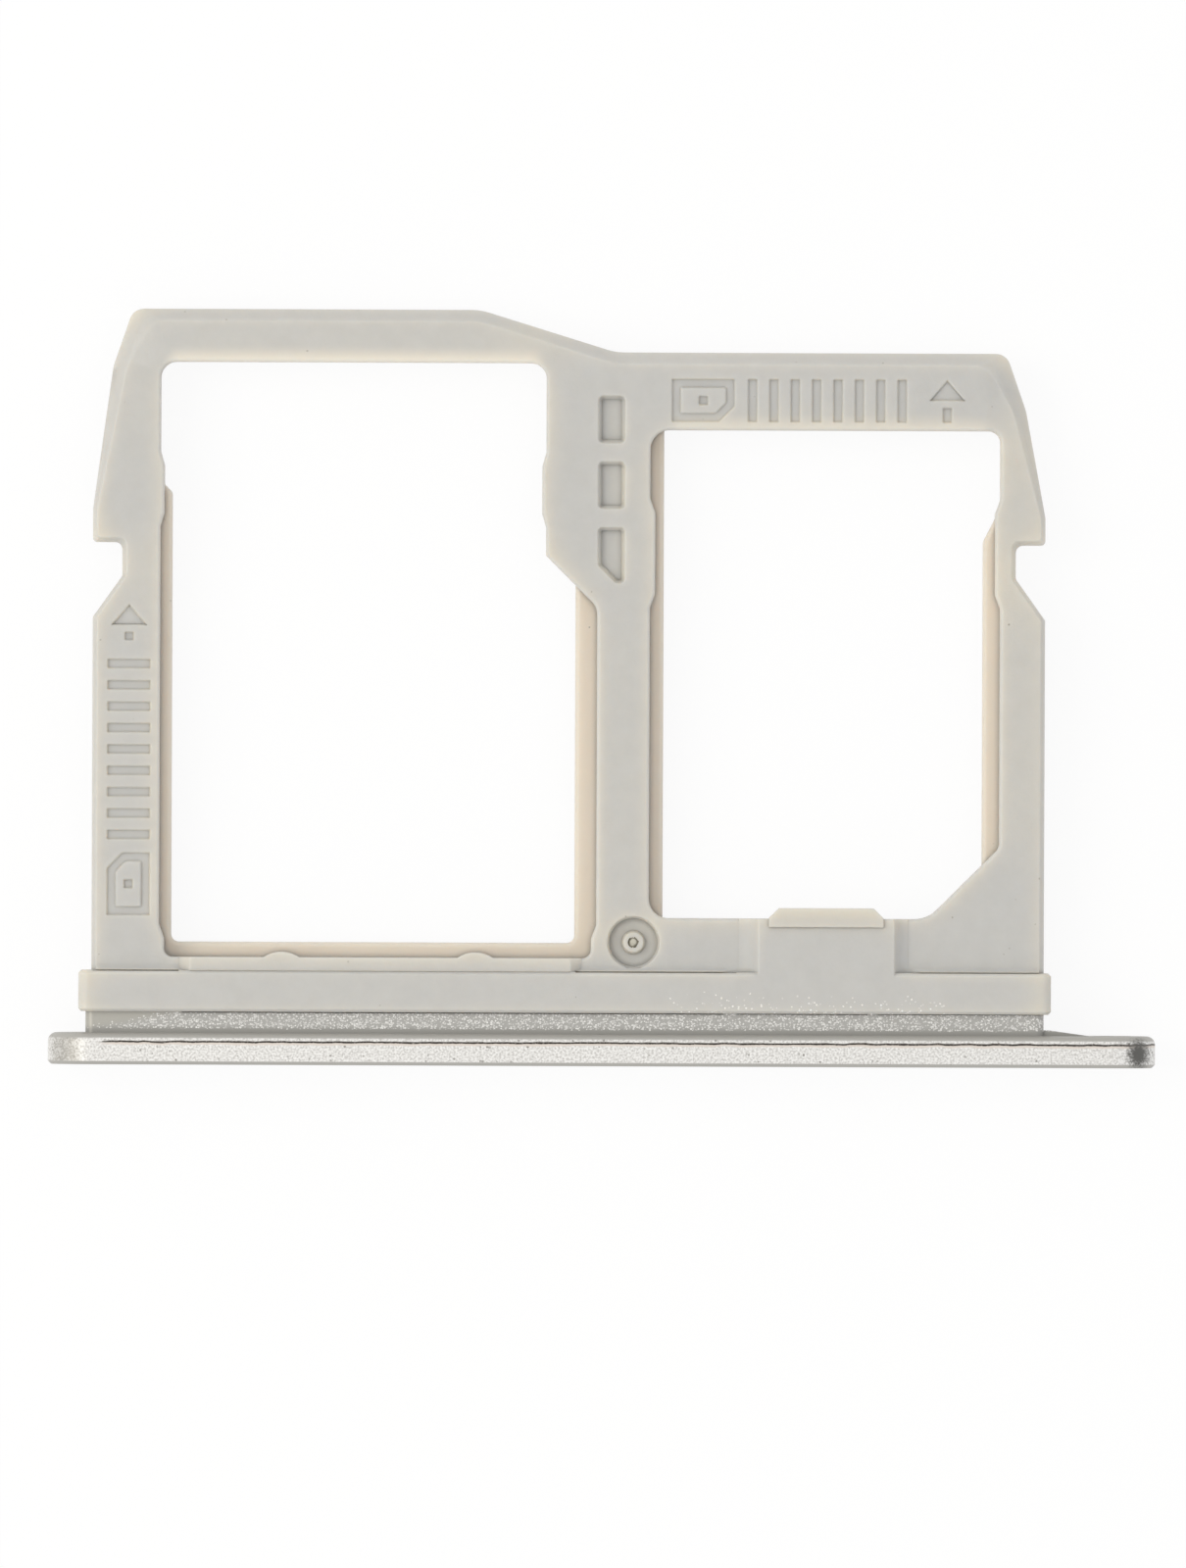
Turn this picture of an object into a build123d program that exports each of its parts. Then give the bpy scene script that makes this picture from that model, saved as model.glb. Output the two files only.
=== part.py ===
"""Card tray for a phone: one moulding that carries a memory card beside a small SIM card.

The face plate closes the slot in the phone's side. Behind it come a neck, a sealing collar and two
rails with a rib between them, which frame the two card pockets. The tray lies flat, pockets up.
+X runs along the face plate, +Y is the way the tray goes in, and +Z is up.
Sizes are millimetres. The origin is on the ground under the middle of the tray.
"""

import os
from math import radians, tan

from build123d import *

# Cards, as the card standards give them
memory_card_width = 11.0
memory_card_narrow = 9.7
memory_card_length = 15.0
memory_step_back = 4.87
sim_card_width = 8.8
sim_card_length = 12.3
sim_card_cut = 1.80
card_clearance = 0.05

# Widths across the tray
left_rail = 1.70
rib = 1.33
right_rail = 1.14
plate_past_left = 1.10
plate_past_right = 2.83
collar_past_left = 0.32
collar_past_right = 0.18
neck_past_left = 0.14

# Depths along the tray, from the face plate inwards
plate_thickness = 0.80
neck_length = 0.54
collar_depth = 1.04
memory_web = 0.34
sim_web = 1.36
memory_far_bar = 1.33
sim_far_bar = 1.95

# Heights, all centred on the face plate but for the ledge, which lies at the underside
plate_height = 2.20
collar_height = 1.80
neck_height = 1.30
rail_height = 1.20
ledge_height = 0.40

# Ledges under the cards, and where each one stops short of the pocket's far wall
memory_ledge_left = 0.30
memory_ledge_right = 0.55
memory_ledge_front = 0.38
memory_ledge_stop = 3.00
memory_ledge_ramp = 0.30
sim_ledge_left = 0.35
sim_ledge_right = 0.43
sim_ledge_stop = 1.95
sim_ledge_ramp = 0.85
window_round = 0.20

# Corners of the pockets
memory_far_round = 0.40
memory_front_round = 0.22
memory_step_share = 0.35
sim_left_round = 0.50
sim_right_round = 0.30
sim_cut_round = 0.80

# Pads and bumps in the pocket walls that steady the cards
pad_ramp = 0.35
memory_pad_proud = 0.10
memory_pad_start = 2.27
memory_pad_length = 1.90
sim_pad_proud = 0.13
sim_pad_start = 1.75
sim_pad_length = 2.75
seat_proud = 0.13
seat_length = 0.83
bump_proud = 0.14
bump_chord = 0.90
bump_from_left = 3.10
bump_spacing = 4.90

# Insertion end: tapered noses, the shoulder between the two bars, and the lead-in bevel
nose_past_latch_left = 0.85
nose_past_latch_right = 0.69
nose_knee_back = 1.45
nose_knee_inset = 0.50
nose_tip_inset = 1.00
nose_round = 0.38
shoulder_in = 1.68
shoulder_angle = 17.2
shoulder_round = 1.50
lead_far = 0.30
lead_tip = 0.50
lead_knee = 0.34
lead_drop = 0.30
lead_round = 0.62
lead_under_share = 0.40
edge_soft = 0.12

# Latch notches in the outer sides of the rails
latch_from_end = 5.90
latch_depth = 0.745
latch_flat = 0.85
latch_ramp = 1.05
latch_round = 0.20
latch_tip_round = 0.10

# Land in front of the memory card, and the pad and hold-down tab in front of the SIM card
land_drop = 0.05
land_in_left = 0.80
land_in_right = 0.65
land_slope = 0.28
sim_land_width = 3.42
sim_land_slope_left = 0.50
sim_land_slope_right = 0.36
sim_land_offset = 0.06
tab_width = 2.90
tab_reach = 0.27
tab_root = 0.21
tab_thickness = 0.42
tab_above_land = 0.06
tab_corner = 0.25

# Recesses in the top of the rib: core-outs beside the step, and the gate well with its stub
core_count = 3
core_width = 0.70
core_length = 1.22
core_pitch = 1.66
core_from_far = 1.43
core_depth = 0.26
core_draft = 22.0
core_round = 0.14
core_last_extra = 0.22
core_last_flat = 0.24
gate_from_rib_middle = 0.28
gate_from_collar = 0.75
gate_radius = 0.655
gate_floor_radius = 0.54
gate_depth = 0.30
stub_radius = 0.30
stub_height = 0.20
stub_crater = 0.14
stub_crater_depth = 0.10

# Face plate: rounded back edge, broken front edge, pin hole, and the stay behind its long end
plate_back_round = 0.22
plate_front_break = 0.08
pin_hole = 1.0
pin_hole_break = 0.08
stay_run = 1.15
stay_depth = 0.14
stay_height = 0.90

# Rounded rims and ends
rim_round = 0.08
lip_round = 0.12
foot_round = 0.16
collar_round = 0.26
neck_round = 0.20
collar_break = 0.07

# How the widths stack up
memory_pocket = memory_card_width + card_clearance
memory_throat = memory_card_narrow + card_clearance
sim_pocket = sim_card_width + card_clearance
body_width = left_rail + memory_pocket + rib + sim_pocket + right_rail
plate_length = plate_past_left + body_width + plate_past_right
plate_right = plate_length / 2
body_left = plate_past_left - plate_right
body_right = body_left + body_width
memory_left = body_left + left_rail
memory_right = memory_left + memory_pocket
throat_right = memory_left + memory_throat
sim_left = memory_right + rib
sim_right = sim_left + sim_pocket
sim_middle = (sim_left + sim_right) / 2
window_left = memory_left + memory_ledge_left
window_right = memory_right - memory_ledge_right
sim_window_left = sim_left + sim_ledge_left
sim_window_right = sim_right - sim_ledge_right

# How the depths stack up
memory_run = memory_card_length + card_clearance
sim_run = sim_card_length + card_clearance
front_stack = plate_thickness + neck_length + collar_depth
memory_stack = memory_web + memory_run + memory_far_bar
sim_stack = sim_web + sim_run + sim_far_bar
tray_depth = front_stack + max(memory_stack, sim_stack)
plate_front = -tray_depth / 2
plate_back = plate_front + plate_thickness
collar_front = plate_back + neck_length
collar_back = collar_front + collar_depth
memory_front = collar_back + memory_web
memory_far = memory_front + memory_run
window_front = memory_front + memory_ledge_front
memory_end = memory_far + memory_far_bar
sim_front = collar_back + sim_web
sim_far = sim_front + sim_run
sim_end = sim_far + sim_far_bar
latch_top = memory_end - latch_from_end
step_top = memory_far - memory_step_back

# How the heights stack up
middle = plate_height / 2
rail_bottom = middle - rail_height / 2
rail_top = rail_bottom + rail_height
ledge_top = rail_bottom + ledge_height
collar_top = middle + collar_height / 2
land_top = collar_top - land_drop
tab_top = collar_top + tab_above_land
outside = 1.0
slack = 0.001


def across(y):
    """Plane that stands across the tray at a depth y and faces out of the face plate."""
    return Plane.XZ.offset(-y)


def edges_at(part, height, left, right, front, far):
    """Edges at one height whose middles lie within a rectangle."""
    level = part.edges().filter_by_position(Axis.Z, height - slack, height + slack)
    across_x = level.filter_by_position(Axis.X, left - slack, right + slack)
    return across_x.filter_by_position(Axis.Y, front - slack, far + slack)


def outline_of(corners):
    """Face inside a run of corners, each given as x, y and its rounding."""
    with BuildSketch() as outline:
        with BuildLine():
            FilletPolyline([(x, y) for x, y, r in corners], radius=[r for x, y, r in corners], close=True)
        make_face()
    return outline.sketch


def body_outline(height, lead, soft):
    """Outline of rails, bars and noses: lead is the share of the lead-in bevel, soft the edge break."""
    left, right = body_left + soft, body_right - soft
    knee = nose_knee_inset + lead * lead_knee
    tip = nose_tip_inset + lead * lead_tip
    corner = nose_round + lead * (lead_round - nose_round)
    memory_tip, sim_tip = memory_end - lead * lead_far, sim_end - lead * lead_far
    shoulder_top = throat_right - shoulder_in
    shoulder_foot = shoulder_top + abs(memory_end - sim_end) / tan(radians(shoulder_angle))
    lip, flat = latch_top + soft, latch_top - latch_flat
    foot = flat - latch_ramp
    corners = [
        (left, collar_back, 0),
        (right, collar_back, 0),
        (right, foot, 0),
        (right - latch_depth, flat, latch_tip_round),
        (right - latch_depth, lip, latch_round),
        (right, lip, latch_tip_round),
        (right, latch_top + nose_past_latch_right, 0),
        (body_right - knee, sim_end - nose_knee_back, nose_knee_back),
        (body_right - tip, sim_tip, corner),
        (shoulder_foot, sim_tip, shoulder_round),
        (shoulder_top, memory_tip, shoulder_round),
        (body_left + tip, memory_tip, corner),
        (body_left + knee, memory_end - nose_knee_back, nose_knee_back),
        (left, latch_top + nose_past_latch_left, 0),
        (left, lip, latch_tip_round),
        (left + latch_depth, lip, latch_round),
        (left + latch_depth, flat, latch_tip_round),
        (left, foot, 0),
    ]
    return Plane.XY.offset(height) * outline_of(corners)


def wall_pad(wall, low, high, proud):
    """Shape that a pad takes out of a pocket, proud of the side wall at x = wall."""
    points = [(wall, low), (wall + proud, low + pad_ramp), (wall + proud, high - pad_ramp), (wall, high)]
    return Polygon(points, (wall - proud, high), (wall - proud, low), align=None, mode=Mode.PRIVATE)


def memory_pocket_outline():
    """Memory card's pocket: stepped like the card, with side pads, a snug seat and two front bumps."""
    step = memory_right - throat_right
    pad_high = memory_far - memory_pad_start
    pad_low = pad_high - memory_pad_length
    seat_low, seat_high = memory_front - pad_ramp, memory_front + seat_length
    bump_radius = (bump_chord**2 / 4 + bump_proud**2) / (2 * bump_proud)
    bump_x, bump_y = memory_left + bump_from_left, memory_front + bump_proud - bump_radius
    corners = [
        (memory_left, memory_front, 0),
        (memory_right, memory_front, 0),
        (memory_right, step_top - step, memory_step_share * step),
        (throat_right, step_top, 0),
        (throat_right, memory_far, memory_far_round),
        (memory_left, memory_far, memory_far_round),
    ]
    with BuildSketch() as outline:
        add(outline_of(corners))
        add(wall_pad(memory_left, pad_low, pad_high, memory_pad_proud), mode=Mode.SUBTRACT)
        add(wall_pad(throat_right, pad_low, pad_high, -memory_pad_proud), mode=Mode.SUBTRACT)
        add(wall_pad(memory_left, seat_low, seat_high, seat_proud), mode=Mode.SUBTRACT)
        add(wall_pad(memory_right, seat_low, seat_high, -seat_proud), mode=Mode.SUBTRACT)
        fillet(outline.vertices().group_by(Axis.Y)[0], memory_front_round)
        with Locations((bump_x, bump_y), (bump_x + bump_spacing, bump_y)):
            Circle(bump_radius, mode=Mode.SUBTRACT)
    return outline.sketch


def memory_window_outline():
    """Opening under the memory card: its pocket less the ledges, the left one ramped out part way."""
    stop = memory_far - memory_ledge_stop
    corners = [
        (window_left, window_front, window_round),
        (window_right, window_front, window_round),
        (window_right, memory_far + outside, 0),
        (memory_left - outside, memory_far + outside, 0),
        (memory_left - outside, stop, 0),
        (memory_left, stop, 0),
        (window_left, stop - memory_ledge_ramp, window_round),
    ]
    with BuildSketch() as outline:
        add(memory_pocket_outline())
        add(outline_of(corners), mode=Mode.INTERSECT)
    return outline.sketch


def sim_pocket_outline():
    """SIM card's pocket: one corner cut like the card's, and a long pad in each side wall."""
    pad_high = sim_far - sim_pad_start
    pad_low = pad_high - sim_pad_length
    corners = [
        (sim_left, sim_front, sim_left_round),
        (sim_right - sim_card_cut, sim_front, sim_cut_round),
        (sim_right, sim_front + sim_card_cut, sim_right_round),
        (sim_right, sim_far, sim_right_round),
        (sim_left, sim_far, sim_left_round),
    ]
    with BuildSketch() as outline:
        add(outline_of(corners))
        add(wall_pad(sim_left, pad_low, pad_high, sim_pad_proud), mode=Mode.SUBTRACT)
        add(wall_pad(sim_right, pad_low, pad_high, -sim_pad_proud), mode=Mode.SUBTRACT)
    return outline.sketch


def sim_window_outline():
    """Opening under the SIM card: its pocket less the two side ledges, the right one ramped out."""
    stop = sim_far - sim_ledge_stop
    corners = [
        (sim_window_left, sim_front - outside, 0),
        (sim_window_right, sim_front - outside, 0),
        (sim_window_right, stop - sim_ledge_ramp, window_round),
        (sim_right, stop, 0),
        (sim_right + outside, stop, 0),
        (sim_right + outside, sim_far + outside, 0),
        (sim_window_left, sim_far + outside, 0),
    ]
    with BuildSketch() as outline:
        add(sim_pocket_outline())
        add(outline_of(corners), mode=Mode.INTERSECT)
    return outline.sketch


with BuildPart() as tray:
    # Face plate with full-round ends, its back edge rounded over and its front edge broken
    with BuildSketch(across(plate_back)):
        with Locations((0, middle)):
            SlotOverall(plate_length, plate_height)
    extrude(amount=plate_thickness)
    fillet(tray.faces().sort_by(Axis.Y)[-1].edges(), plate_back_round)
    chamfer(tray.faces().sort_by(Axis.Y)[0].edges(), plate_front_break)

    # Neck
    neck_left, neck_right = body_left - neck_past_left, body_right
    with BuildSketch(across(collar_front)):
        with Locations(((neck_left + neck_right) / 2, middle)):
            RectangleRounded(neck_right - neck_left, neck_height, neck_round)
    extrude(amount=neck_length)

    # Collar that fills the slot behind the face plate
    collar_left, collar_right = body_left - collar_past_left, body_right + collar_past_right
    with BuildSketch(across(collar_back)):
        with Locations(((collar_left + collar_right) / 2, middle)):
            RectangleRounded(collar_right - collar_left, collar_height, collar_round)
    extrude(amount=collar_depth)
    back_rim = tray.faces().sort_by(Axis.Y)[-1].edges()
    front_rim = tray.faces().filter_by(Axis.Y).group_by(Axis.Y)[-2][0].outer_wire().edges()
    chamfer(back_rim + front_rim, collar_break)

    # Rails, bars and noses in one block, with the lead-in bevel and the soft edges lofted in
    loft(
        [
            body_outline(rail_bottom, lead_under_share, edge_soft),
            body_outline(rail_bottom + lead_under_share * lead_drop, 0, 0),
            body_outline(rail_top - lead_drop, 0, 0),
            body_outline(rail_top - edge_soft, 1 - edge_soft / lead_drop, edge_soft / 4),
            body_outline(rail_top, 1, edge_soft),
        ],
        ruled=True,
    )

    # Pockets down to the ledges, with rounded rims
    with BuildSketch(Plane.XY.offset(ledge_top)) as pockets:
        add(memory_pocket_outline())
        add(sim_pocket_outline())
    extrude(amount=plate_height, mode=Mode.SUBTRACT)
    fillet(edges_at(tray, rail_top, memory_left, memory_right, memory_front, memory_far), rim_round)
    fillet(edges_at(tray, rail_top, sim_left, sim_right, sim_front, sim_far), rim_round)

    # Openings through the floor, which leave the ledges with rounded lips
    with BuildSketch():
        add(memory_window_outline())
        add(sim_window_outline())
    extrude(amount=plate_height, mode=Mode.SUBTRACT)
    fillet(edges_at(tray, ledge_top, window_left, window_right, window_front, step_top), lip_round)
    fillet(edges_at(tray, ledge_top, sim_window_left, sim_window_right, sim_front, sim_far), lip_round)

    # Stay behind the long end of the face plate
    with BuildSketch(Plane.XY.offset(middle - stay_height / 2)):
        Polygon(
            (neck_right - stay_depth, plate_back - plate_back_round),
            (neck_right + stay_run, plate_back - plate_back_round),
            (neck_right + stay_run, plate_back),
            (neck_right + stay_depth, plate_back + stay_depth),
            (neck_right - stay_depth, plate_back + stay_depth),
            align=None,
        )
    extrude(amount=stay_height)

    # Web in front of the pockets, made apart so that the pockets can end it cleanly
    with BuildPart(mode=Mode.PRIVATE) as web:
        # Coved foot where the rails run up into the collar
        foot_end, foot_head = collar_back + foot_round, rail_top + foot_round
        with BuildSketch(Plane.YZ.offset(body_left + edge_soft)):
            with BuildLine():
                CenterArc((foot_end, foot_head), foot_round, 180, 90)
                Polyline(
                    (foot_end, rail_top),
                    (foot_end, middle),
                    (collar_back - collar_break, middle),
                    (collar_back - collar_break, foot_head),
                    (collar_back, foot_head),
                )
            make_face()
        extrude(amount=body_width - 2 * edge_soft)

        # Land in front of the memory card, level with the collar and sloped down to the rails
        land_left, land_right = memory_left + land_in_left, memory_right - land_in_right
        with BuildSketch(across(memory_front + bump_proud)):
            Polygon(
                (land_left - land_slope, rail_top),
                (land_left - land_slope, middle),
                (land_right + land_slope, middle),
                (land_right + land_slope, rail_top),
                (land_right, land_top),
                (land_left, land_top),
                align=None,
            )
        extrude(amount=memory_web + bump_proud)

        # Land in front of the SIM card, which carries the hold-down tab and runs on over the collar
        sim_land_middle = sim_middle + sim_land_offset
        sim_land_left = sim_land_middle - sim_land_width / 2
        sim_land_right = sim_land_middle + sim_land_width / 2
        with BuildSketch(across(sim_front)):
            Polygon(
                (sim_land_left - sim_land_slope_left, rail_top),
                (sim_land_left - sim_land_slope_left, middle),
                (sim_land_right + sim_land_slope_right, middle),
                (sim_land_right + sim_land_slope_right, rail_top),
                (sim_land_right, collar_top),
                (sim_land_left, collar_top),
                align=None,
            )
        extrude(amount=sim_web + collar_depth / 2)

        # Both lands end at the pockets, where the two bumps stand out
        extrude(pockets.sketch, amount=plate_height, mode=Mode.SUBTRACT)
    add(web.part)

    # Hold-down tab, its outer corners cut so that the SIM card slides under it
    tab_left, tab_right = sim_land_middle - tab_width / 2, sim_land_middle + tab_width / 2
    with BuildSketch(Plane.XY.offset(tab_top)) as tab:
        Polygon(
            (tab_left, sim_front - tab_root),
            (tab_right, sim_front - tab_root),
            (tab_right, sim_front + tab_reach),
            (tab_left, sim_front + tab_reach),
            align=None,
        )
        chamfer(tab.vertices().group_by(Axis.Y)[-1], tab_corner)
    extrude(amount=-tab_thickness)

    # Core-outs in the thick part of the rib, the last one cut to follow the memory card's step
    core_x = memory_right + core_width / 2
    core_last = memory_far - core_from_far - (core_count - 1) * core_pitch
    core_cut = core_width - core_last_flat
    with BuildSketch(Plane.XY.offset(rail_top)) as cores:
        for index in range(core_count - 1):
            with Locations((core_x, memory_far - core_from_far - index * core_pitch)):
                Rectangle(core_width, core_length)
        low, high = core_last - core_length / 2 - core_last_extra, core_last + core_length / 2
        Polygon(
            (memory_right, low + core_cut),
            (memory_right + core_cut, low),
            (memory_right + core_width, low),
            (memory_right + core_width, high),
            (memory_right, high),
            align=None,
        )
        fillet(cores.vertices(), core_round)
    extrude(amount=-core_depth, taper=core_draft, mode=Mode.SUBTRACT)

    # Gate well with the stub that the sprue leaves when it is broken off
    gate_x, gate_y = (memory_right + sim_left) / 2 + gate_from_rib_middle, collar_back + gate_from_collar
    stub_top = stub_height - gate_depth
    with BuildSketch(Plane((gate_x, gate_y, rail_top), x_dir=(1, 0, 0), z_dir=(0, -1, 0))):
        Polygon(
            (0, stub_height),
            (gate_radius, stub_height),
            (gate_radius, 0),
            (gate_floor_radius, -gate_depth),
            (stub_radius, -gate_depth),
            (stub_radius - stub_crater_depth / 2, stub_top),
            (stub_crater, stub_top),
            (0, stub_top - stub_crater_depth),
            align=None,
        )
    revolve(axis=Axis((gate_x, gate_y, 0), (0, 0, 1)), mode=Mode.SUBTRACT)

    # Hole that the eject pin goes through, in the round end past the collar
    pin_mouth = Plane((plate_right - middle, plate_front, middle), x_dir=(1, 0, 0), z_dir=(0, -1, 0))
    with Locations(pin_mouth):
        CounterSinkHole(pin_hole / 2, pin_hole / 2 + pin_hole_break, plate_thickness, 90)

tray.part.label = "tray"
os.makedirs("parts", exist_ok=True)
export_step(tray.part, "parts/tray.step")
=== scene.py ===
"""Looks of a card tray for a phone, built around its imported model.

The tray is one moulding in pale warm grey, with a face plate sprayed in metallic silver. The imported
solid is copied, and the copy gets what is too fine for the CAD: two rows of plain slot marks, fine
grooves, the coves beside the hold-down tab, and the gate well's wall with the torn end of the sprue.
Then each stretch of it gets its finish. Sizes in the classes are millimetres, in the tray's own
frame: +X along the face plate, +Y the way the tray goes in, +Z up.
"""

import logging
from collections.abc import Callable, Iterator
from contextlib import contextmanager
from dataclasses import dataclass, field
from enum import Enum, IntEnum
from math import radians, sqrt

import bpy
from bpy.types import Material, Node, NodeSocket, NodeTree, Object
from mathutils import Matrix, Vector


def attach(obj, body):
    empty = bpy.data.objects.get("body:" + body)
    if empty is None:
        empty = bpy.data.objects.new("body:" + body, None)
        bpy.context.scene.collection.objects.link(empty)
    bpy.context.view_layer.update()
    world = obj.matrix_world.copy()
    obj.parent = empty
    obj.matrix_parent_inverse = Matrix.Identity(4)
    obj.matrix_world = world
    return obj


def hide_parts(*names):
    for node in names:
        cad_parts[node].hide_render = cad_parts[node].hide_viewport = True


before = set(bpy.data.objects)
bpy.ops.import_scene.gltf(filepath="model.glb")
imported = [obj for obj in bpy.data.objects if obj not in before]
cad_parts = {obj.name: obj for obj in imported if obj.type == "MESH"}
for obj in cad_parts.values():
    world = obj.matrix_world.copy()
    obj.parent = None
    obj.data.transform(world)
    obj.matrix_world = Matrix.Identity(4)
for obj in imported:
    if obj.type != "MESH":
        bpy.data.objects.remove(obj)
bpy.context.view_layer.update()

MM = 0.001
SLACK = 0.002  # how far two things are kept apart that would else lie in one plane
FACES_UP = 0.9  # least Z of the normal of a face that looks up
FLECK_REACH = 0.55  # how far a fleck reaches from its middle, as a share of the way to the next
FAINTEST_FLECK = 0.25
Band = tuple[float, float, float]  # where a stretch starts and ends, and how far it fades out
log = logging.getLogger("card_tray")


def linear(hex_colour: str) -> tuple[float, float, float, float]:
    """Turns an sRGB hex colour into the linear colour that a shader takes.

    Args:
        hex_colour: Six hex digits, such as "c8c5be".

    Returns:
        Linear red, green and blue, with an alpha of 1.
    """
    channels = [int(hex_colour[i : i + 2], 16) / 255 for i in (0, 2, 4)]
    red, green, blue = (c / 12.92 if c <= 0.04045 else ((c + 0.055) / 1.055) ** 2.4 for c in channels)
    return (red, green, blue, 1.0)


def add_node(
    tree: NodeTree, kind: str, settings: dict | None = None, links: dict | None = None
) -> Node:
    """Adds a node with its settings and what feeds it.

    Args:
        tree: Node tree that the node joins.
        kind: Blender's name for the type of node.
        settings: Values by attribute name, or by input name or number for a socket's own value.
        links: Output sockets by the input name or number that each one feeds.

    Returns:
        The new node.
    """
    node = tree.nodes.new(kind)
    for key, value in (settings or {}).items():
        if isinstance(key, str) and hasattr(node, key):
            setattr(node, key, value)
        else:
            node.inputs[key].default_value = value
    for key, source in (links or {}).items():
        tree.links.new(source, node.inputs[key])
    return node


def blank_material(name: str) -> tuple[Material, NodeTree, Node]:
    """Starts a node material with nothing in it but its output.

    Args:
        name: Name of the material.

    Returns:
        The material, its node tree and its output node.
    """
    material = bpy.data.materials.new(name)
    material.use_nodes = True
    tree = material.node_tree
    tree.nodes.clear()
    return material, tree, tree.nodes.new("ShaderNodeOutputMaterial")


def region(tree: NodeTree, *bands: tuple[NodeSocket, Band]) -> NodeSocket:
    """Marks a stretch of a coordinate, or the place where stretches of several overlap.

    Args:
        tree: Node tree that the nodes join.
        bands: For each stretch its coordinate, in metres, and the band that it takes up, in millimetres.

    Returns:
        Output that is 1 in the place and falls off softly to 0 outside it.
    """
    mark = None
    for coordinate, (low, high, fade) in bands:
        rise, fall = (
            add_node(
                tree,
                "ShaderNodeMapRange",
                {"interpolation_type": "SMOOTHSTEP", "From Min": outside * MM, "From Max": inside * MM},
                {"Value": coordinate},
            ).outputs["Result"]
            for outside, inside in ((low - fade, low), (high + fade, high))
        )
        both = add_node(tree, "ShaderNodeMath", {"operation": "MULTIPLY"}, {0: rise, 1: fall})
        if mark is not None:
            both = add_node(
                tree, "ShaderNodeMath", {"operation": "MULTIPLY"}, {0: mark, 1: both.outputs[0]}
            )
        mark = both.outputs[0]
    return mark


def flecks(
    tree: NodeTree, place: NodeSocket, size: float, density: NodeSocket | float
) -> NodeSocket:
    """Scatters small round flecks, each with a strength of its own.

    Args:
        tree: Node tree that the nodes join.
        place: Object coordinates.
        size: How far apart flecks lie where they are densest, in millimetres.
        density: Share of the places that hold a fleck, from 0 to 1.

    Returns:
        Output that is 0 between the flecks and up to 1 on them.
    """
    cells = add_node(tree, "ShaderNodeTexVoronoi", {"Scale": 1 / (size * MM)}, {"Vector": place})
    luck = add_node(tree, "ShaderNodeSeparateColor", {}, {0: cells.outputs["Color"]})
    landed = add_node(tree, "ShaderNodeMath", {"operation": "LESS_THAN"}, {0: luck.outputs["Red"]})
    if isinstance(density, float):
        landed.inputs[1].default_value = density
    else:
        tree.links.new(density, landed.inputs[1])
    disc = add_node(
        tree,
        "ShaderNodeMath",
        {"operation": "LESS_THAN", 1: FLECK_REACH},
        {0: cells.outputs["Distance"]},
    )
    strength = add_node(
        tree, "ShaderNodeMapRange", {"To Min": FAINTEST_FLECK}, {"Value": luck.outputs["Green"]}
    )
    fleck = landed.outputs[0]
    for part in (disc.outputs[0], strength.outputs["Result"]):
        product = add_node(tree, "ShaderNodeMath", {"operation": "MULTIPLY"}, {0: fleck, 1: part})
        fleck = product.outputs[0]
    return fleck


def deselect_all() -> None:
    """Leaves nothing selected, so that an operator acts only on what is chosen next."""
    if bpy.context.object and bpy.context.object.mode != "OBJECT":
        bpy.ops.object.mode_set(mode="OBJECT")
    bpy.ops.object.select_all(action="DESELECT")


def pick(*objects: Object) -> Object:
    """Selects only the given objects and makes the first one active.

    Args:
        objects: What to select.

    Returns:
        The active object.
    """
    deselect_all()
    for item in objects:
        item.select_set(True)
    bpy.context.view_layer.objects.active = objects[0]
    return objects[0]


@contextmanager
def editing(
    shape: Object, kind: str, chosen: Callable[..., bool] | None = None
) -> Iterator[None]:
    """Opens a mesh for editing, with all of it selected or some of it.

    Args:
        shape: The mesh.
        kind: What is selected, "VERT" or "FACE".
        chosen: Tells which vertices or faces are selected. Without it, all of them are.

    Yields:
        Nothing. The mesh is closed again at the end.
    """
    pick(shape)
    bpy.ops.object.mode_set(mode="EDIT")
    bpy.ops.mesh.select_mode(type=kind)
    bpy.ops.mesh.select_all(action="DESELECT" if chosen else "SELECT")
    if chosen:
        bpy.ops.object.mode_set(mode="OBJECT")
        for part in shape.data.vertices if kind == "VERT" else shape.data.polygons:
            part.select = chosen(part)
        bpy.ops.object.mode_set(mode="EDIT")
    yield
    bpy.ops.object.mode_set(mode="OBJECT")


def settle(shape: Object) -> Object:
    """Makes an object's place, turn and scale part of its mesh.

    Args:
        shape: The object.

    Returns:
        The same object.
    """
    pick(shape)
    bpy.ops.object.transform_apply(location=True, rotation=True, scale=True)
    return shape


def primitive(
    add: Callable, place: tuple[float, float, float] = (0, 0, 0), turn: float = 0.0, **sizes: float
) -> Object:
    """Makes one of Blender's basic shapes.

    Args:
        add: Blender's operator for the shape.
        place: Its middle, in millimetres.
        turn: How far it is turned round the X axis, in degrees.
        sizes: What else the operator takes.

    Returns:
        The shape.
    """
    deselect_all()
    add(location=Vector(place) * MM, rotation=(radians(turn), 0, 0), **sizes)
    return settle(bpy.context.object)


class Way(Enum):
    """Way in which two solids are put together, by Blender's own name."""

    CUT = "DIFFERENCE"
    UNITE = "UNION"


def combine(solid: Object, other: Object, way: Way = Way.CUT) -> None:
    """Cuts one solid out of another, or makes the two one.

    Args:
        solid: What is cut or added to.
        other: What is taken out or added, which is used up.
        way: Which of the two is done.
    """
    pick(solid)
    joint = solid.modifiers.new("joint", "BOOLEAN")
    joint.operation = way.value
    joint.solver = "MANIFOLD"
    joint.object = other
    bpy.ops.object.modifier_apply(modifier=joint.name)
    bpy.data.objects.remove(other)


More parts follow.
